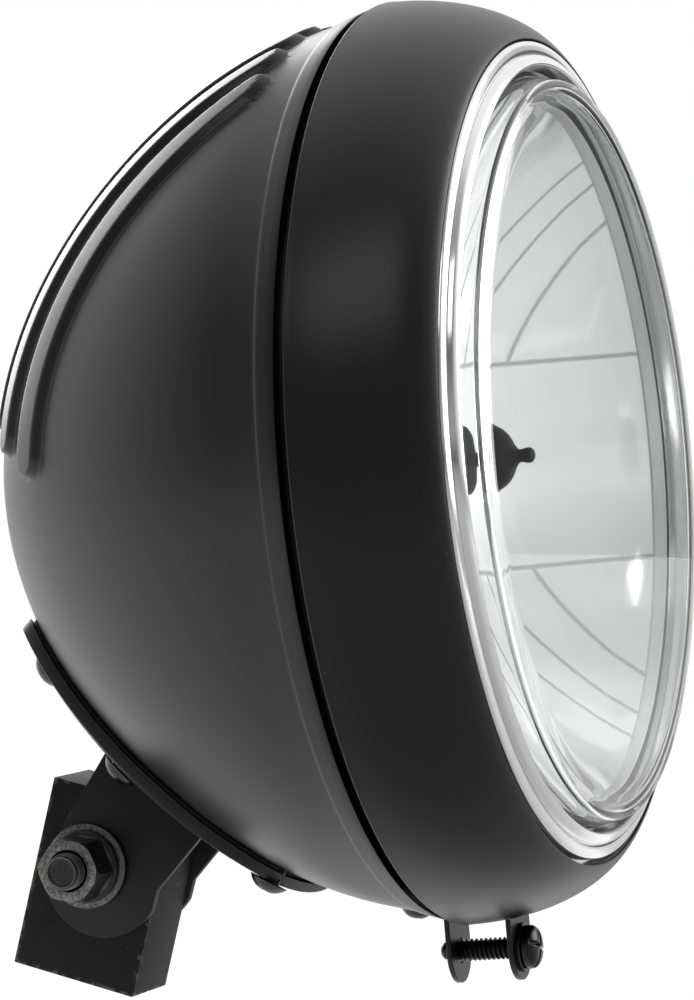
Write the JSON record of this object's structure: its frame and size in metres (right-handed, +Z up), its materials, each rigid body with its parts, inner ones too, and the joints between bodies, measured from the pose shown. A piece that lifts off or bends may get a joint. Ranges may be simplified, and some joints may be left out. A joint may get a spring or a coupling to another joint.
{
  "type": "motorcycle headlight",
  "caption": "Round headlight: ribbed bowl, rolled rim, bright ring and domed lens, tilting between two ears on a block with a tapped hole.",
  "frame": {"origin": "middle of the mouth of the tapped hole in the block's underside", "axes": "+Z up, the lamp shines along -Y, +X to the right seen from behind the lens towards its back; the lamp's own axis is parallel to Y and the block leans back by 18.4 degrees"},
  "size_m": [0.199, 0.1435, 0.2118],
  "materials": {
    "black_paint": "satin black paint on steel, lightly worn on edges",
    "black_steel": "blackened steel",
    "bright_chrome": "polished",
    "clear_glass": "clear",
    "black_rubber": "matt",
    "bright_metal": "mirror-bright, faceted",
    "zinc_steel": "zinc plated, dulled",
    "brass_blade": "plain"
  },
  "bodies": {
    "mount": {"mounting_block": "black_paint", "pivot_bolt": "zinc_steel", "pivot_nut": "zinc_steel", "small_washers": "zinc_steel", "large_washers": "zinc_steel"},
    "lamp": {"shell": "black_paint", "rim": "black_paint", "rim_screw": "black_steel", "rim_screw_washer": "black_steel", "bezel": "bright_chrome", "lens": "clear_glass", "lens_seal": "black_rubber", "reflector": "bright_metal", "unit_clips": "zinc_steel", "bulb_glass": "clear_glass", "bulb_cap": "black_steel", "bulb_base": "zinc_steel", "bulb_terminals": "brass_blade", "bulb_spring": "zinc_steel", "bulb_boot": "black_rubber", "cable_grommet": "black_rubber", "body_screw": "black_steel", "body_nut": "zinc_steel", "saddle_pad": "black_rubber", "saddle_bracket": "black_paint", "saddle_screws": "black_steel", "saddle_nuts": "zinc_steel"}
  },
  "joints": [
    {"name": "tilt", "type": "hinge", "parent": "mount", "child": "lamp", "pos_m": [0, -0.00688, 0.02511], "axis": [1, 0, 0], "range_deg": [-25, 25]}
  ]
}
